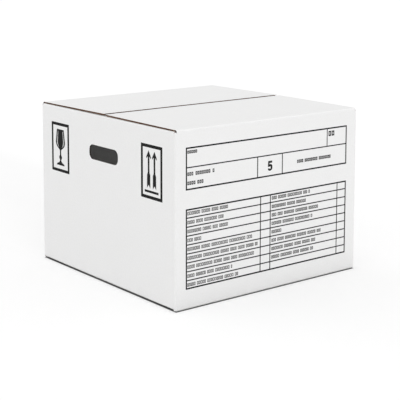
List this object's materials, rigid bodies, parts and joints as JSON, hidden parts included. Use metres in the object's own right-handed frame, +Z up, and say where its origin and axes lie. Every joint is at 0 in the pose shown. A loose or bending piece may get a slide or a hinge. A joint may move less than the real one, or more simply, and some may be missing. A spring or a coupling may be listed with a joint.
{
  "type": "moving box",
  "caption": "White-lined corrugated moving box, square, with hand holes in its sides, hinged outer top flaps, and a printed blank form and handling marks.",
  "frame": {"origin": "on the floor, at the middle of the box", "axes": "+Z up; the panel with the printed form faces -Y; the hand holes are in the panels at -X and +X"},
  "size_m": [0.5002, 0.5002, 0.364],
  "materials": {
    "white_board": "matt corrugated board, white-lined outside and inside, brown at its cut edges",
    "ink": "dark grey matt printing ink, one thin coat on the white liner"
  },
  "bodies": {
    "carton": {"carton_body": "white_board", "header_grid": "ink", "checklist_grid": "ink", "numeral": "ink", "name_bar": "ink", "number_bar": "ink", "size_bar": "ink", "volume_bar": "ink", "contents_bar": "ink", "left_bar_1": "ink", "left_bar_2": "ink", "left_bar_3": "ink", "left_bar_4": "ink", "left_bar_5": "ink", "left_bar_6": "ink", "left_bar_7": "ink", "left_bar_8": "ink", "left_bar_9": "ink", "right_bar_1": "ink", "right_bar_2": "ink", "right_bar_3": "ink", "right_bar_4": "ink", "right_bar_5": "ink", "right_bar_6": "ink", "right_bar_7": "ink", "right_bar_8": "ink", "glass_frame": "ink", "glass_mark": "ink", "arrow_frame": "ink", "arrow_back": "ink", "arrow_front": "ink", "arrow_bar": "ink"},
    "front_flap": {"front_top_flap": "white_board"},
    "back_flap": {"back_top_flap": "white_board"}
  },
  "joints": [
    {"name": "front_flap_hinge", "type": "hinge", "parent": "carton", "child": "front_flap", "pos_m": [0, -0.25, 0.362], "axis": [1, 0, 0], "range_deg": [0, 250]},
    {"name": "back_flap_hinge", "type": "hinge", "parent": "carton", "child": "back_flap", "pos_m": [0, 0.25, 0.362], "axis": [-1, 0, 0], "range_deg": [0, 250]}
  ]
}
